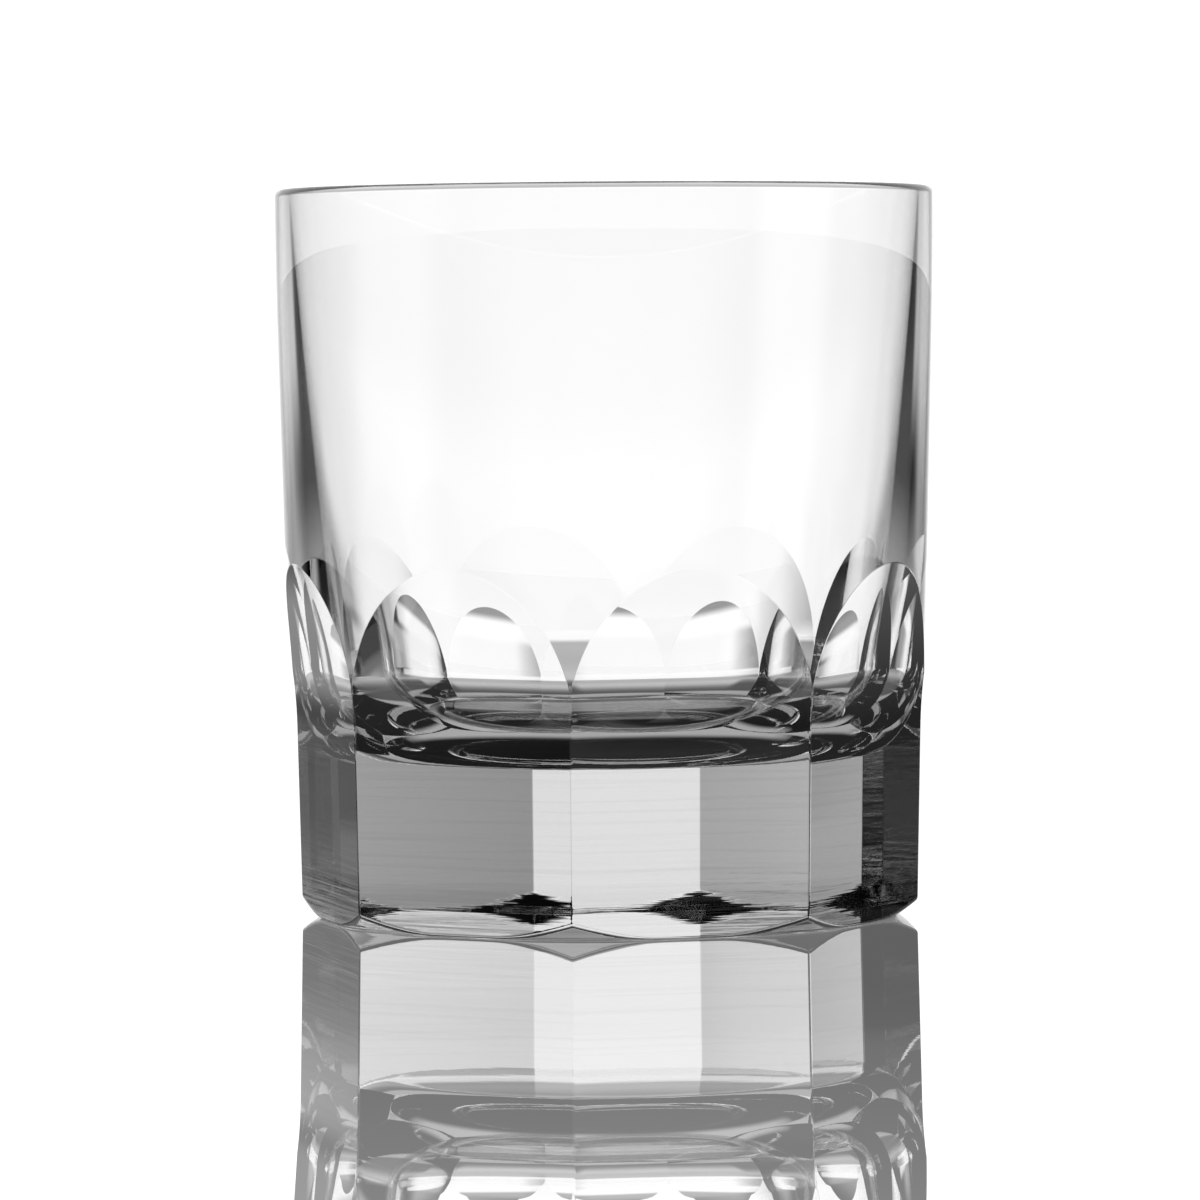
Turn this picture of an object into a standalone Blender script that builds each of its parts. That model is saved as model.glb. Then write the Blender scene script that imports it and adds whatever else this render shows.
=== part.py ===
"""Cut-glass whiskey tumbler.

One solid piece of clear glass: a slightly tapered round body with a deep cup above a thick base, eight flat
facets with arched tops ground into its lower half, and a bevel ground round its foot.
Metres, +Z up, origin at the middle of the flat underside. The eight facets face the X and Y axes and their
diagonals.
"""

import math

import bmesh
import bpy
from mathutils import Matrix

# Overall size
HEIGHT = 0.090
STEPS_ROUND = 96  # straight sides round the body: a multiple of the facets, so that corners fall on them

# Outside of the turned body: a straight taper that turns upright below the lip
TAPER = math.radians(1.386)  # lean of the side from the vertical
TAPER_RADIUS = 0.0398  # of the body at TAPER_LEVEL
TAPER_LEVEL = 0.0463
UPRIGHT_START = 0.0736  # where the taper starts to ease into a vertical wall
RIM_WALL = 0.00166  # glass thickness just under the lip, which is a half round of this width

# Foot
FOOT_CONE_RADIUS = 0.0359  # where the foot's ground cone meets the underside
FOOT_CONE_SLOPE = 0.75  # rise over run of that cone
FOOT_CONE_TOP_RADIUS = 0.0400

# Cup
CUP_FLOOR = 0.0198  # height of the glass under the cup
CUP_FLOOR_DISH = 0.0006  # how far the middle of the cup's floor lies below its edge
CUP_FILLET = 0.0132  # radius between the floor and the wall
CUP_CREASE = math.radians(3.0)  # slight angle that the plunger leaves where the wall meets the fillet
CUP_WALL_FOOT_RADIUS = 0.03375  # of the cup at that crease
CUP_WALL_BULGE = 0.00020  # how far the wall bows outward from a straight cone

# Facets
FACETS = 8
FACET_APOTHEM = 0.03552  # from the axis to the flat of a facet at the underside
FACET_TAPER = math.radians(1.146)
FACET_FLAT_TOP = 0.0235  # above this the facet runs out on the grinding wheel's radius
WHEEL_RADIUS = 0.0655
FACET_ARRIS = 0.00035  # width of the softened edge between a facet and the underside
CUTTER_HALF_WIDTH = 0.024
CUTTER_OUTSIDE = 0.047
CUTTER_BELOW = 0.002


def arc(centre, radius, start, end, count):
    """count + 1 points on a circle in the X-Z plane, from angle start to angle end."""
    angles = [start + (end - start) * i / count for i in range(count + 1)]
    return [(centre[0] + radius * math.cos(a), centre[1] + radius * math.sin(a)) for a in angles]


def bowed_line(start, end, bow, count):
    """count + 1 points from start to end, pushed towards +X by bow at the middle."""
    points = []
    for i in range(count + 1):
        t = i / count
        x = start[0] + (end[0] - start[0]) * t + bow * 4 * t * (1 - t)
        points.append((x, start[1] + (end[1] - start[1]) * t))
    return points


def side_radius(level):
    """Radius of the tapered part of the body at a height."""
    return TAPER_RADIUS + math.tan(TAPER) * (level - TAPER_LEVEL)


def body_profile():
    """The turned outline, from the middle of the cup's floor over the lip and down to the underside."""
    lip = RIM_WALL / 2
    lip_level = HEIGHT - lip
    ease_radius = (lip_level - UPRIGHT_START) / math.sin(TAPER)
    rim_radius = side_radius(UPRIGHT_START) + ease_radius * (1 - math.cos(TAPER))
    cup_rim = (rim_radius - RIM_WALL, lip_level)

    # The fillet's arc stops at the wall's foot, where it is steeper than the wall's lean by the crease
    lean = math.atan2(cup_rim[0] - CUP_WALL_FOOT_RADIUS, cup_rim[1] - CUP_FLOOR - CUP_FILLET)
    arc_end = lean + CUP_CREASE
    fillet_centre = (CUP_WALL_FOOT_RADIUS - CUP_FILLET * math.cos(arc_end), CUP_FLOOR + CUP_FILLET)
    fillet = arc(fillet_centre, CUP_FILLET, math.radians(-90), -arc_end, 8)

    floor = [(0.0, CUP_FLOOR - CUP_FLOOR_DISH)]
    for i in range(1, 4):
        x = fillet_centre[0] * i / 4
        floor.append((x, CUP_FLOOR - CUP_FLOOR_DISH * (1 - (x / fillet_centre[0]) ** 2)))
    wall = bowed_line(fillet[-1], cup_rim, CUP_WALL_BULGE, 6)[1:]
    over_lip = arc((rim_radius - lip, lip_level), lip, math.pi, 0.0, 8)[1:]
    ease = arc((rim_radius - ease_radius, lip_level), ease_radius, 0.0, -TAPER, 3)[1:]
    foot_top = FOOT_CONE_SLOPE * (FOOT_CONE_TOP_RADIUS - FOOT_CONE_RADIUS)
    side = bowed_line(ease[-1], (side_radius(foot_top), foot_top), 0.0, 6)[1:]
    cone = [(FOOT_CONE_RADIUS, 0.0), (0.0, 0.0)]
    return floor + fillet + wall + over_lip + ease + side + cone


def glass_material():
    material = bpy.data.materials.new("clear_crystal")
    material.use_nodes = True
    shader = material.node_tree.nodes["Principled BSDF"]
    shader.inputs["Base Color"].default_value = (0.97, 0.98, 0.98, 1.0)
    shader.inputs["Metallic"].default_value = 0.0
    shader.inputs["Roughness"].default_value = 0.02
    shader.inputs["IOR"].default_value = 1.52
    shader.inputs["Transmission Weight"].default_value = 1.0
    return material


def turned_body():
    """The body before it is cut: its outline turned about Z."""
    outline = body_profile()
    mesh = bpy.data.meshes.new("tumbler")
    edges = [(i, i + 1) for i in range(len(outline) - 1)]
    mesh.from_pydata([(x, 0.0, z) for x, z in outline], edges, [])
    body = bpy.data.objects.new("tumbler", mesh)
    bpy.context.scene.collection.objects.link(body)
    turn = body.modifiers.new("turn", "SCREW")
    turn.axis = "Z"
    turn.steps = STEPS_ROUND
    turn.render_steps = STEPS_ROUND
    turn.use_smooth_shade = True
    turn.use_merge_vertices = True
    turn.merge_threshold = 0.00001
    return body


def facet_profile():
    """The outline of the glass that the wheel takes off one side, X outward from the axis."""
    slope = math.tan(FACET_TAPER)
    flat_top = (FACET_APOTHEM + slope * FACET_FLAT_TOP, FACET_FLAT_TOP)
    wheel_centre = (
        flat_top[0] + WHEEL_RADIUS * math.cos(FACET_TAPER),
        flat_top[1] - WHEEL_RADIUS * math.sin(FACET_TAPER),
    )
    # The wheel's arc goes on until it is clear of the body
    sweep = math.acos((wheel_centre[0] - 1.04 * TAPER_RADIUS) / WHEEL_RADIUS)
    run_out = arc(wheel_centre, WHEEL_RADIUS, math.pi - FACET_TAPER, math.pi - sweep, 16)
    bottom = (FACET_APOTHEM - FACET_ARRIS - CUTTER_BELOW, -CUTTER_BELOW)
    arris = (FACET_APOTHEM + slope * FACET_ARRIS, FACET_ARRIS)
    outside = [(CUTTER_OUTSIDE, run_out[-1][1]), (CUTTER_OUTSIDE, -CUTTER_BELOW)]
    return [bottom, arris] + run_out + outside


def facet_cutter_mesh():
    """The facet's outline extruded sideways into a closed block."""
    shape = bmesh.new()
    corners = [shape.verts.new((x, -CUTTER_HALF_WIDTH, z)) for x, z in facet_profile()]
    face = shape.faces.new(corners)
    grown = bmesh.ops.extrude_face_region(shape, geom=[face])["geom"]
    moved = [v for v in grown if isinstance(v, bmesh.types.BMVert)]
    bmesh.ops.translate(shape, verts=moved, vec=(0.0, 2 * CUTTER_HALF_WIDTH, 0.0))
    bmesh.ops.recalc_face_normals(shape, faces=shape.faces)
    mesh = bpy.data.meshes.new("facet_cutter")
    shape.to_mesh(mesh)
    shape.free()
    return mesh


def cut_facets(body):
    """Takes one facet after another off the body, each with its own copy of the cutter."""
    mesh = facet_cutter_mesh()
    for i in range(FACETS):
        cutter = bpy.data.objects.new(f"facet_cutter_{i + 1}", mesh)
        cutter.matrix_world = Matrix.Rotation(2 * math.pi * i / FACETS, 4, "Z")
        cutter.hide_render = True
        cutter.display_type = "WIRE"
        bpy.context.scene.collection.objects.link(cutter)
        cut = body.modifiers.new(f"facet_{i + 1}", "BOOLEAN")
        cut.operation = "DIFFERENCE"
        cut.solver = "EXACT"
        cut.object = cutter


def main():
    for old in list(bpy.data.objects):
        bpy.data.objects.remove(old)
    body = turned_body()
    body.data.materials.append(glass_material())
    cut_facets(body)


main()
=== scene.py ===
"""Looks for the cut-glass whiskey tumbler: fine glass, a glossy white table and a bright studio."""

import math

import bpy
import numpy as np
from mathutils import Matrix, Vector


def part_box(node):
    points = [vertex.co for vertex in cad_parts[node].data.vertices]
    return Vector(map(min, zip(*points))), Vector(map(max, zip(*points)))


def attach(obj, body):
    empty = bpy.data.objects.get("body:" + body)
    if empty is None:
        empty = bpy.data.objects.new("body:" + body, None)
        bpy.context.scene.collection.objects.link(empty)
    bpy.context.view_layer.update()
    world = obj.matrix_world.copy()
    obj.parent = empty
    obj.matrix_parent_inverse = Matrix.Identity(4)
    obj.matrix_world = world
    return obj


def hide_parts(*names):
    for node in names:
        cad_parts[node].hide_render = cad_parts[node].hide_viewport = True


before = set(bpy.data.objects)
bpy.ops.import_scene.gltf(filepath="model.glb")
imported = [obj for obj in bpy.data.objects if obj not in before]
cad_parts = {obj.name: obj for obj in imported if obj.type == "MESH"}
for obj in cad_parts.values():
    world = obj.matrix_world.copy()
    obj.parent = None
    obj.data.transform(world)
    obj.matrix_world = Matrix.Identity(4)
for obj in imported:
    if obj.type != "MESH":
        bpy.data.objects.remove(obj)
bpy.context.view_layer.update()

# ---- The glass, in metres, as the CAD node has it ----
LOW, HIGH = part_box("tumbler")
HEIGHT = HIGH.z
RIM_RADIUS = HIGH.x  # the widest part of the body is just under the lip
TAPER = math.radians(1.386)
UPRIGHT_START = 0.0736
RIM_WALL = 0.00166
FOOT_CONE_RADIUS = 0.0359
FOOT_CONE_SLOPE = 0.75
CUP_FLOOR = 0.0198
CUP_FLOOR_DISH = 0.0006
CUP_FILLET = 0.0132
CUP_CREASE = math.radians(3.0)
CUP_WALL_FOOT_RADIUS = 0.03375
CUP_WALL_BULGE = 0.00020
FACETS = 8
FACET_APOTHEM = 0.03552
FACET_TAPER = math.radians(1.146)
FACET_FLAT_TOP = 0.0235
WHEEL_RADIUS = 0.0655

# Softened edges: how far each blend takes the sharp edge back, times four
CORNER_SOFTNESS = 0.00016
ARCH_SOFTNESS = 0.00002
FOOT_SOFTNESS = 0.00030
GLASS_IOR = 1.52
GLASS_TINT = (0.5, 0.5, 0.5, 1.0)  # with the density: the thick base keeps some light back
GLASS_DENSITY = 9.5

# The surface's fine relief and marks: cycles to the metre along X, Y and Z, depths and levels in metres
WAVES = (38, 38, 26)  # left by the mould, all over
WAVE_DEPTH = 0.000006
STREAKS = (45, 45, 1500)  # left by the polishing belt, on the facets
STREAK_DEPTH = 0.0000040
STREAKS_FADE = (0.0185, 0.030)  # levels between which the belt's traces die out
FOOT_STREAKS = (30, 30, 1500)  # where the foot was bevelled by hand
FOOT_DEPTH = 0.000016
FOOT_FADE = (0.0040, 0.0072)
CUT_HAZE = 0.030  # most roughness on the facets
BELT_MARKS = (13, 13, 1900)  # fine scattering lines on the facets
BELT_MARK_EDGE = (0.53, 0.66)  # how much of the noise counts as a mark
BELT_MARK_SHADE = 0.07  # light that a mark keeps back

# The mesh: columns round one facet, and rows along each part of the outline
COLUMNS_PER_FACET = 54
UNDERSIDE_ROWS = 24
CONE_ROWS = 12
FACET_ROWS = 48
BODY_ROWS = 36
LIP_POINTS = 21
WALL_ROWS = 40
FILLET_ROWS = 26
FLOOR_POINTS = 14
CORNER_CROWDING = 2.2  # how strongly each set of columns or rows is drawn towards its ends
UNDERSIDE_CROWDING = 2.6
CONE_CROWDING = 1.6
SIDE_CROWDING = 2.7
WALL_CROWDING = 2.4
FILLET_CROWDING = 1.6
HALVINGS = 42  # of an interval, down to the last digits of a number
ARCH_HIGHEST = 0.06  # all arches end below this
FOOT_HIGHEST = 0.006  # every facet meets the foot cone below this
HUB_LEVEL = 0.008  # inside the glass: low points are softened along rays from here
SOFTEN_RANGE = (0.5, 1.2)  # of the ray's length, where its softened end is looked for

LIP = RIM_WALL / 2
LIP_LEVEL = HEIGHT - LIP
EASE_RADIUS = (LIP_LEVEL - UPRIGHT_START) / math.sin(TAPER)
TAPER_TOP_RADIUS = RIM_RADIUS - EASE_RADIUS * (1 - math.cos(TAPER))
PITCH = 2 * math.pi / FACETS


def body_radius(z):
    """Radius of the round body at each height up to the lip."""
    taper = TAPER_TOP_RADIUS + np.tan(TAPER) * (z - UPRIGHT_START)
    over = np.clip(LIP_LEVEL - z, 0, EASE_RADIUS * math.sin(TAPER))
    ease = RIM_RADIUS - EASE_RADIUS + np.sqrt(EASE_RADIUS**2 - over**2)
    return np.where(z < UPRIGHT_START, taper, ease)


def facet_apothem(z):
    """Distance from the axis to the flat of a facet at each height."""
    slope = math.tan(FACET_TAPER)
    start = FACET_APOTHEM + slope * FACET_FLAT_TOP
    centre_x = start + WHEEL_RADIUS * math.cos(FACET_TAPER)
    centre_z = FACET_FLAT_TOP - WHEEL_RADIUS * math.sin(FACET_TAPER)
    up = np.clip(z - centre_z, 0, 0.99 * WHEEL_RADIUS)
    run_out = centre_x - np.sqrt(WHEEL_RADIUS**2 - up**2)
    return np.where(z < FACET_FLAT_TOP, FACET_APOTHEM + slope * z, run_out)


def soft_max(a, b, softness):
    """The larger of two distances, blended where they are within softness of each other."""
    h = np.maximum(softness - np.abs(a - b), 0)
    return np.maximum(a, b) + h * h / (4 * softness)


def outside_distance(r, z, angle):
    """Below zero inside the outer surface of the glass: body, facets, foot cone and underside together."""
    near = angle - PITCH * np.round(angle / PITCH)
    other = near - PITCH * np.where(near < 0, -1.0, 1.0)
    apothem = facet_apothem(z)
    facets = soft_max(r * np.cos(near) - apothem, r * np.cos(other) - apothem, CORNER_SOFTNESS)
    side = soft_max(facets, r - body_radius(z), ARCH_SOFTNESS)
    cone = (FOOT_CONE_SLOPE * (r - FOOT_CONE_RADIUS) - z) / math.hypot(1, FOOT_CONE_SLOPE)
    return soft_max(soft_max(side, cone, FOOT_SOFTNESS), -z, FOOT_SOFTNESS)


def solve(lower, upper, above):
    """Halves the interval between arrays lower and upper until above(x) changes sign there."""
    for _ in range(HALVINGS):
        middle = (lower + upper) / 2
        high = above(middle)
        lower, upper = np.where(high, lower, middle), np.where(high, middle, upper)
    return (lower + upper) / 2


def arch_level(angle):
    """Height of a facet's arched edge at each angle round the axis."""
    near = angle - PITCH * np.round(angle / PITCH)
    low, high = np.full_like(near, FACET_FLAT_TOP), np.full_like(near, ARCH_HIGHEST)
    return solve(low, high, lambda z: facet_apothem(z) > body_radius(z) * np.cos(near))


def foot_level(angle):
    """Height at which a facet meets the foot cone, or 0 where the facet lies inside the cone."""
    near = angle - PITCH * np.round(angle / PITCH)
    low, high = np.zeros_like(near), np.full_like(near, FOOT_HIGHEST)

    def cone_outside_facet(z):
        return FOOT_CONE_RADIUS + z / FOOT_CONE_SLOPE > facet_apothem(z) / np.cos(near)

    return solve(low, high, cone_outside_facet)


def crowded(start, end, around, count):
    """count + 1 parameters from start to end, closer together near both ends by the factor around."""
    t = np.linspace(-1, 1, count + 1)
    eased = np.tanh(around * t) / np.tanh(around)
    return start + (end - start) * (eased + 1) / 2


def column_angles():
    """Angles of the mesh's columns, crowded towards the corners between facets."""
    half = PITCH / 2
    one = crowded(-half, half, CORNER_CROWDING, COLUMNS_PER_FACET)[:-1]
    return np.concatenate([one + PITCH * k for k in range(FACETS)])


def outer_rows(angle):
    """Sharp-edged points (r, z) up each column of the outside, from the underside's middle to the lip."""
    near = angle - PITCH * np.round(angle / PITCH)
    foot, arch = foot_level(angle), arch_level(angle)
    contact = np.minimum(FOOT_CONE_RADIUS, facet_apothem(0.0) / np.cos(near))
    foot_radius = facet_apothem(foot) / np.cos(near)
    rows = []
    for t in crowded(0, 1, UNDERSIDE_CROWDING, UNDERSIDE_ROWS)[:-1]:
        rows.append((contact * t, np.zeros_like(angle)))
    for t in crowded(0, 1, CONE_CROWDING, CONE_ROWS)[:-1]:
        rows.append((contact + (foot_radius - contact) * t, foot * t))
    for t in crowded(0, 1, SIDE_CROWDING, FACET_ROWS)[:-1]:
        z = foot + (arch - foot) * t
        rows.append((facet_apothem(z) / np.cos(near), z))
    for t in crowded(0, 1, SIDE_CROWDING, BODY_ROWS)[:-1]:
        z = arch + (LIP_LEVEL - arch) * t
        rows.append((body_radius(z), z))
    return rows


def soften(rows, angle):
    """Moves each sharp-edged point onto the blended outer surface, along a ray from inside the glass."""
    points = []
    for r, z in rows:
        from_z = np.maximum(z, HUB_LEVEL)
        share = solve(
            np.full_like(r, SOFTEN_RANGE[0]),
            np.full_like(r, SOFTEN_RANGE[1]),
            lambda s: outside_distance(r * s, from_z + (z - from_z) * s, angle) > 0,
        )
        points.append((r * share, from_z + (z - from_z) * share))
    return points


def arc(centre, radius, angles):
    """Points of a circle at the given angles."""
    return [(centre[0] + radius * math.cos(a), centre[1] + radius * math.sin(a)) for a in angles]


def inner_rows():
    """Points (r, z) over the lip, down the cup's wall and in to the middle of its floor."""
    over_lip = arc((RIM_RADIUS - LIP, LIP_LEVEL), LIP, np.linspace(0, math.pi, LIP_POINTS))
    cup_rim = over_lip[-1]
    lean = math.atan2(cup_rim[0] - CUP_WALL_FOOT_RADIUS, cup_rim[1] - CUP_FLOOR - CUP_FILLET)
    start = lean + CUP_CREASE
    floor_radius = CUP_WALL_FOOT_RADIUS - CUP_FILLET * math.cos(start)
    fillet_angles = crowded(-start, -math.pi / 2, FILLET_CROWDING, FILLET_ROWS)
    fillet = arc((floor_radius, CUP_FLOOR + CUP_FILLET), CUP_FILLET, fillet_angles)
    wall = []
    for t in crowded(0, 1, WALL_CROWDING, WALL_ROWS)[1:-1]:
        x = cup_rim[0] + (fillet[0][0] - cup_rim[0]) * t + CUP_WALL_BULGE * 4 * t * (1 - t)
        wall.append((x, cup_rim[1] + (fillet[0][1] - cup_rim[1]) * t))
    floor = []
    for t in np.linspace(1, 0, FLOOR_POINTS)[1:]:
        floor.append((floor_radius * t, CUP_FLOOR - CUP_FLOOR_DISH * (1 - t * t)))
    return over_lip + wall + fillet + floor


def glass_mesh():
    """One closed surface: columns round the axis, rows from the underside over the lip to the cup's floor."""
    angle = column_angles()
    rows = soften(outer_rows(angle), angle)
    rows += [(np.full_like(angle, r), np.full_like(angle, z)) for r, z in inner_rows()]
    verts, faces, columns = [(0.0, 0.0, rows[0][1][0])], [], len(angle)
    for r, z in rows[1:-1]:
        verts += list(zip(r * np.cos(angle), r * np.sin(angle), z))
    last = len(verts)
    verts.append((0.0, 0.0, rows[-1][1][0]))
    for i in range(columns):
        j = (i + 1) % columns
        faces.append((0, 1 + j, 1 + i))
        for row in range(len(rows) - 3):
            a = 1 + row * columns
            faces.append((a + i, a + j, a + columns + j, a + columns + i))
        a = 1 + (len(rows) - 3) * columns
        faces.append((a + i, a + j, last))
    mesh = bpy.data.meshes.new("tumbler_glass")
    mesh.from_pydata(verts, [], faces)
    mesh.shade_smooth()
    return mesh


def math_node(nodes, operation, *values):
    """A Math node whose inputs are numbers or sockets."""
    node = nodes.new("ShaderNodeMath")
    node.operation = operation
    for socket, value in zip(node.inputs, values):
        if isinstance(value, (int, float)):
            socket.default_value = value
        else:
            nodes.id_data.links.new(value, socket)
    return node.outputs[0]


def step(nodes, value, start, end, before=0.0, after=1.0):
    """Goes smoothly from before to after while the value goes from start to end."""
    node = nodes.new("ShaderNodeMapRange")
    node.interpolation_type = "SMOOTHSTEP"
    nodes.id_data.links.new(value, node.inputs["Value"])
    for name, number in (("From Min", start), ("From Max", end), ("To Min", before), ("To Max", after)):
        node.inputs[name].default_value = number
    return node.outputs["Result"]


def noise(nodes, place, cycles, detail):
    """Noise from 0 to 1, with about this many cycles to the metre along X, Y and Z."""
    mapping = nodes.new("ShaderNodeMapping")
    mapping.inputs["Scale"].default_value = cycles
    nodes.id_data.links.new(place, mapping.inputs["Vector"])
    texture = nodes.new("ShaderNodeTexNoise")
    texture.inputs["Scale"].default_value = 1.0
    texture.inputs["Detail"].default_value = detail
    nodes.id_data.links.new(mapping.outputs[0], texture.inputs["Vector"])
    return texture.outputs[0]


def glass_relief(nodes, place, z):
    """Height of the surface's relief in metres: mould waves, polishing streaks and marks at the foot."""
    waves = math_node(nodes, "MULTIPLY", noise(nodes, place, WAVES, 1.0), WAVE_DEPTH)
    cut_part = step(nodes, z, *STREAKS_FADE, STREAK_DEPTH, 0.0)
    streaks = math_node(nodes, "MULTIPLY", noise(nodes, place, STREAKS, 4.0), cut_part)
    foot_part = step(nodes, z, *FOOT_FADE, FOOT_DEPTH, 0.0)
    foot = math_node(nodes, "MULTIPLY", noise(nodes, place, FOOT_STREAKS, 3.0), foot_part)
    return math_node(nodes, "ADD", waves, math_node(nodes, "ADD", streaks, foot))


def glass_material():
    """Clear crystal, a little less polished where it is cut than where it is fire-polished."""
    material = bpy.data.materials.new("clear_crystal")
    material.use_nodes = True
    nodes, links = material.node_tree.nodes, material.node_tree.links
    place = nodes.new("ShaderNodeTexCoord").outputs["Object"]
    split = nodes.new("ShaderNodeSeparateXYZ")
    links.new(place, split.inputs[0])
    z = split.outputs["Z"]
    shader = nodes["Principled BSDF"]
    marks = step(nodes, noise(nodes, place, BELT_MARKS, 5.0), *BELT_MARK_EDGE)
    marks = math_node(nodes, "MULTIPLY", marks, step(nodes, z, *STREAKS_FADE, BELT_MARK_SHADE, 0.0))
    tint = nodes.new("ShaderNodeCombineColor")
    for channel in tint.inputs:
        links.new(math_node(nodes, "SUBTRACT", 1.0, marks), channel)
    links.new(tint.outputs[0], shader.inputs["Base Color"])
    shader.inputs["IOR"].default_value = GLASS_IOR
    shader.inputs["Transmission Weight"].default_value = 1.0
    haze = step(nodes, z, *STREAKS_FADE, CUT_HAZE, 0.0)
    haze = math_node(nodes, "MULTIPLY", noise(nodes, place, STREAKS, 2.0), haze)
    links.new(haze, shader.inputs["Roughness"])
    bump = nodes.new("ShaderNodeBump")
    bump.inputs["Distance"].default_value = 1.0
    links.new(glass_relief(nodes, place, z), bump.inputs["Height"])
    links.new(bump.outputs[0], shader.inputs["Normal"])
    absorption = nodes.new("ShaderNodeVolumeAbsorption")
    absorption.inputs["Color"].default_value = GLASS_TINT
    absorption.inputs["Density"].default_value = GLASS_DENSITY
    links.new(absorption.outputs["Volume"], nodes["Material Output"].inputs["Volume"])
    return material


glass = bpy.data.objects.new("tumbler_glass", glass_mesh())
bpy.context.scene.collection.objects.link(glass)
glass.data.materials.append(glass_material())
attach(glass, "root")
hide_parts("tumbler")

# ---- Studio: a glossy pale table that glows with painted light and shade, and soft light panels round it ----
TABLE_HALF = 60.0
TABLE_GAP = 0.00005  # between the table and the glass
TABLE_MIRROR_STEEP = (0.5, 0.05)  # Layer Weight's Facing, and how much the table mirrors there
TABLE_MIRROR_GRAZING = (0.9, 0.88)
# Light and shade painted into the table's glow, by distance from the axis: painted shade under the glass,
# and, far off, painted shadows of flags that do not stand in the scene
RING_LIGHT = 0.50  # painted light in the ring just outside the foot
RING_EDGE = (0.030, 0.034)
RING_END = (0.045, 0.050)
BESIDE_SHARE = 0.2  # of the ring's light, and of the room's, that goes on beyond it
POOL_LIGHT = 0.72  # a painted pool of light behind the glass, as the backlight would throw it
POOL_EDGE = (0.048, 0.095)
SIDE_LIGHT = 0.80  # painted light inside the painted flag shadows, but only near the glass
SIDE_EDGE = (0.07, 0.13)
SIDE_END = (0.2, 0.3)
ROOM_LIGHT = 1.10  # painted light in front and to the sides
ROOM_EDGE = (0.07, 0.16)
ROOM_END = (0.35, 0.55)
# Painted flag shadows, alike on the left and right, with no flags in the scene: each one's soft near and far
# side, in degrees from straight behind
FLAG_SHADOW_SIDES = ((24, 30), (54, 60))
WHITE = (1.0, 1.0, 1.0, 1.0)
FIRST_MIRROR_DEPTH = 2.5  # Ray Depth is 2 after one reflection and more after others

CAMERA_TURN = math.radians(-16.05)

# Each panel: azimuth of its middle (0 behind the glass, + to the right), half width and softness of its
# sides, elevation of its bottom and top and softness of those, all in degrees, and its brightness
PANELS = [
    (-3, 20, 6, -90, 5.3, 1.0, 0.76),  # the backlight near the table
    (-0.5, 30.5, 2, 5.3, 9.5, 1.0, 0.84),  # its wider part above that
    (-2, 22, 8, -90, 16, 5, 0.38),  # its glow on the wall
    (-32, 10, 5, -90, 4.4, 0.8, 0.50),  # low strips on both sides of the backlight
    (26, 8, 4, -90, 6, 2, 0.36),
    (92, 25, 10, 5, 16, 3, 0.40),  # on the right
    (-58, 16, 8, 7, 10, 1.2, 0.33),  # on the left
    (180, 45, 15, 3, 7, 1.2, 0.50),  # in front
    (-100, 17, 6, -90, 10, 2.5, 0.90),  # far on the left
]


def bearings(nodes, vector):
    """A vector's azimuth in degrees, 0 straight behind the glass and + to the right, and its height."""
    turn = nodes.new("ShaderNodeVectorRotate")
    turn.rotation_type = "Z_AXIS"
    turn.inputs["Angle"].default_value = -CAMERA_TURN
    nodes.id_data.links.new(vector, turn.inputs["Vector"])
    split = nodes.new("ShaderNodeSeparateXYZ")
    nodes.id_data.links.new(turn.outputs[0], split.inputs[0])
    x, y, z = split.outputs
    return math_node(nodes, "DEGREES", math_node(nodes, "ARCTAN2", x, y)), z


def panel_light(nodes, azimuth, elevation, panel):
    """Brightness that one soft-edged panel gives in each direction."""
    middle, half, side_soft, bottom, top, end_soft, level = panel
    away = math_node(nodes, "SUBTRACT", azimuth, middle)
    away = math_node(nodes, "ABSOLUTE", math_node(nodes, "WRAP", away, 180.0, -180.0))
    light = step(nodes, away, half - side_soft, half + side_soft, level, 0.0)
    below_top = step(nodes, elevation, top - end_soft, top + end_soft, 1.0, 0.0)
    light = math_node(nodes, "MULTIPLY", light, below_top)
    if bottom > -90:
        rise = step(nodes, elevation, bottom - end_soft, bottom + end_soft)
        light = math_node(nodes, "MULTIPLY", light, rise)
    return light


def make_world():
    """The panels, with plain white for the camera and for what the table mirrors straight to it."""
    world = bpy.data.worlds.new("studio")
    world.use_nodes = True
    bpy.context.scene.world = world
    nodes, links = world.node_tree.nodes, world.node_tree.links
    azimuth, z = bearings(nodes, nodes.new("ShaderNodeTexCoord").outputs["Generated"])
    elevation = math_node(nodes, "DEGREES", math_node(nodes, "ARCSINE", z))
    light = 0.0
    for panel in PANELS:
        light = math_node(nodes, "ADD", panel_light(nodes, azimuth, elevation, panel), light)
    path = nodes.new("ShaderNodeLightPath")
    first_mirror = math_node(nodes, "LESS_THAN", path.outputs["Ray Depth"], FIRST_MIRROR_DEPTH)
    first_mirror = math_node(nodes, "MULTIPLY", first_mirror, path.outputs["Is Glossy Ray"])
    white = math_node(nodes, "MAXIMUM", first_mirror, path.outputs["Is Camera Ray"])
    background = nodes["Background"]
    background.inputs["Color"].default_value = WHITE
    links.new(math_node(nodes, "MAXIMUM", light, white), background.inputs["Strength"])


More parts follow.
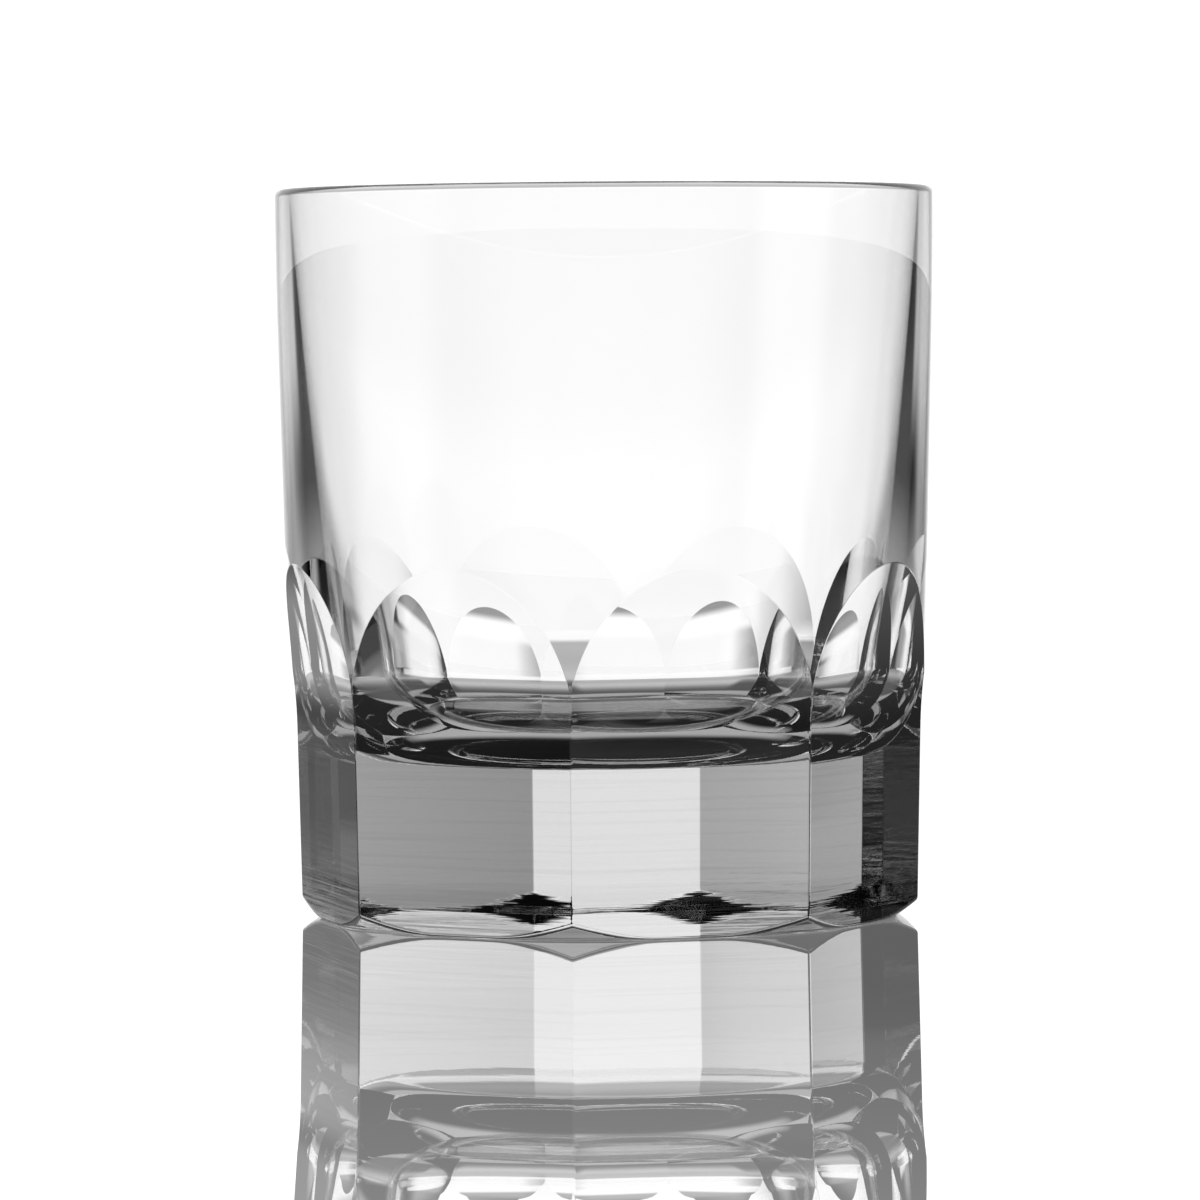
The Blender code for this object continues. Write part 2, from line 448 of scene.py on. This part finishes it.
def painted_table_light(nodes):
    """Light and shade painted into the table's glow at each place."""
    place = nodes.new("ShaderNodeNewGeometry").outputs["Position"]
    length = nodes.new("ShaderNodeVectorMath")
    length.operation = "LENGTH"
    nodes.id_data.links.new(place, length.inputs[0])
    radius = length.outputs["Value"]
    off_axis = math_node(nodes, "ABSOLUTE", bearings(nodes, place)[0])
    ring = step(nodes, radius, *RING_EDGE, 0.0, RING_LIGHT)
    ring = math_node(nodes, "MULTIPLY", ring, step(nodes, radius, *RING_END, 1.0, BESIDE_SHARE))
    # painted flag shadows: the pool stops at their near side, and the room's light starts past their far side
    behind, beyond = FLAG_SHADOW_SIDES
    pool = step(nodes, radius, *POOL_EDGE, 0.0, POOL_LIGHT)
    pool = math_node(nodes, "MULTIPLY", pool, step(nodes, off_axis, *behind, 1.0, 0.0))
    past_first = step(nodes, off_axis, *behind)
    before_second = step(nodes, off_axis, *beyond, 1.0, 0.0)
    flag_shadow_sector = math_node(nodes, "MULTIPLY", past_first, before_second)
    side_start = step(nodes, radius, *SIDE_EDGE)
    side_end = step(nodes, radius, *SIDE_END, SIDE_LIGHT, 0.0)
    side = math_node(nodes, "MULTIPLY", side_start, side_end)
    pool = math_node(nodes, "ADD", pool, math_node(nodes, "MULTIPLY", side, flag_shadow_sector))
    room = step(nodes, radius, *ROOM_EDGE, 0.0, ROOM_LIGHT)
    room = math_node(nodes, "MULTIPLY", room, step(nodes, radius, *ROOM_END, 1.0, BESIDE_SHARE))
    room = math_node(nodes, "MULTIPLY", room, step(nodes, off_axis, *beyond))
    return math_node(nodes, "ADD", ring, math_node(nodes, "ADD", pool, room))


def table_material():
    """A pale glossy sheet: a mirror at a flat angle, and a glow with painted shade where the glass stands."""
    material = bpy.data.materials.new("table")
    material.use_nodes = True
    nodes, links = material.node_tree.nodes, material.node_tree.links
    nodes.remove(nodes["Principled BSDF"])
    glow, mirror, mix = (nodes.new("ShaderNode" + kind) for kind in ("Emission", "BsdfGlossy", "MixShader"))
    mirror.inputs["Roughness"].default_value = 0.0
    mirror.inputs["Color"].default_value = WHITE
    # the glow carries the painted light and shade; camera rays see it no dimmer than white
    light = painted_table_light(nodes)
    path = nodes.new("ShaderNodeLightPath")
    links.new(math_node(nodes, "MAXIMUM", light, path.outputs["Is Camera Ray"]), glow.inputs["Strength"])
    facing = nodes.new("ShaderNodeLayerWeight")
    facing.inputs["Blend"].default_value = 0.5
    share = nodes.new("ShaderNodeMapRange")
    links.new(facing.outputs["Facing"], share.inputs["Value"])
    ends = TABLE_MIRROR_STEEP + TABLE_MIRROR_GRAZING
    for name, number in zip(("From Min", "To Min", "From Max", "To Max"), ends):
        share.inputs[name].default_value = number
    links.new(share.outputs["Result"], mix.inputs[0])
    links.new(glow.outputs[0], mix.inputs[1])
    links.new(mirror.outputs[0], mix.inputs[2])
    links.new(mix.outputs[0], nodes["Material Output"].inputs["Surface"])
    return material


def make_table():
    mesh = bpy.data.meshes.new("table")
    corners = [(-1, -1), (1, -1), (1, 1), (-1, 1)]
    mesh.from_pydata([(x * TABLE_HALF, y * TABLE_HALF, -TABLE_GAP) for x, y in corners], [], [(0, 1, 2, 3)])
    mesh.materials.append(table_material())
    table = bpy.data.objects.new("table", mesh)
    bpy.context.scene.collection.objects.link(table)


# ---- Camera: at four fifths of the height of the glass, looking slightly down on its base ----
LENS = 199.8
SENSOR = 36.0
CAMERA_DISTANCE = 0.825
CAMERA_SIDE = -0.0008
CAMERA_HEIGHT = 0.074
CAMERA_PITCH = math.radians(2.43)
CAMERA_ROLL = math.radians(0.4)


def make_camera():
    data = bpy.data.cameras.new("camera")
    data.lens = LENS
    data.sensor_width = SENSOR
    camera = bpy.data.objects.new("camera", data)
    bpy.context.scene.collection.objects.link(camera)
    camera.matrix_world = (
        Matrix.Rotation(CAMERA_TURN, 4, "Z")
        @ Matrix.Translation((CAMERA_SIDE, -CAMERA_DISTANCE, CAMERA_HEIGHT))
        @ Matrix.Rotation(math.pi / 2 - CAMERA_PITCH, 4, "X")
        @ Matrix.Rotation(-CAMERA_ROLL, 4, "Z")
    )
    bpy.context.scene.camera = camera


make_world()
make_table()
make_camera()
bpy.context.scene.view_settings.view_transform = "Standard"
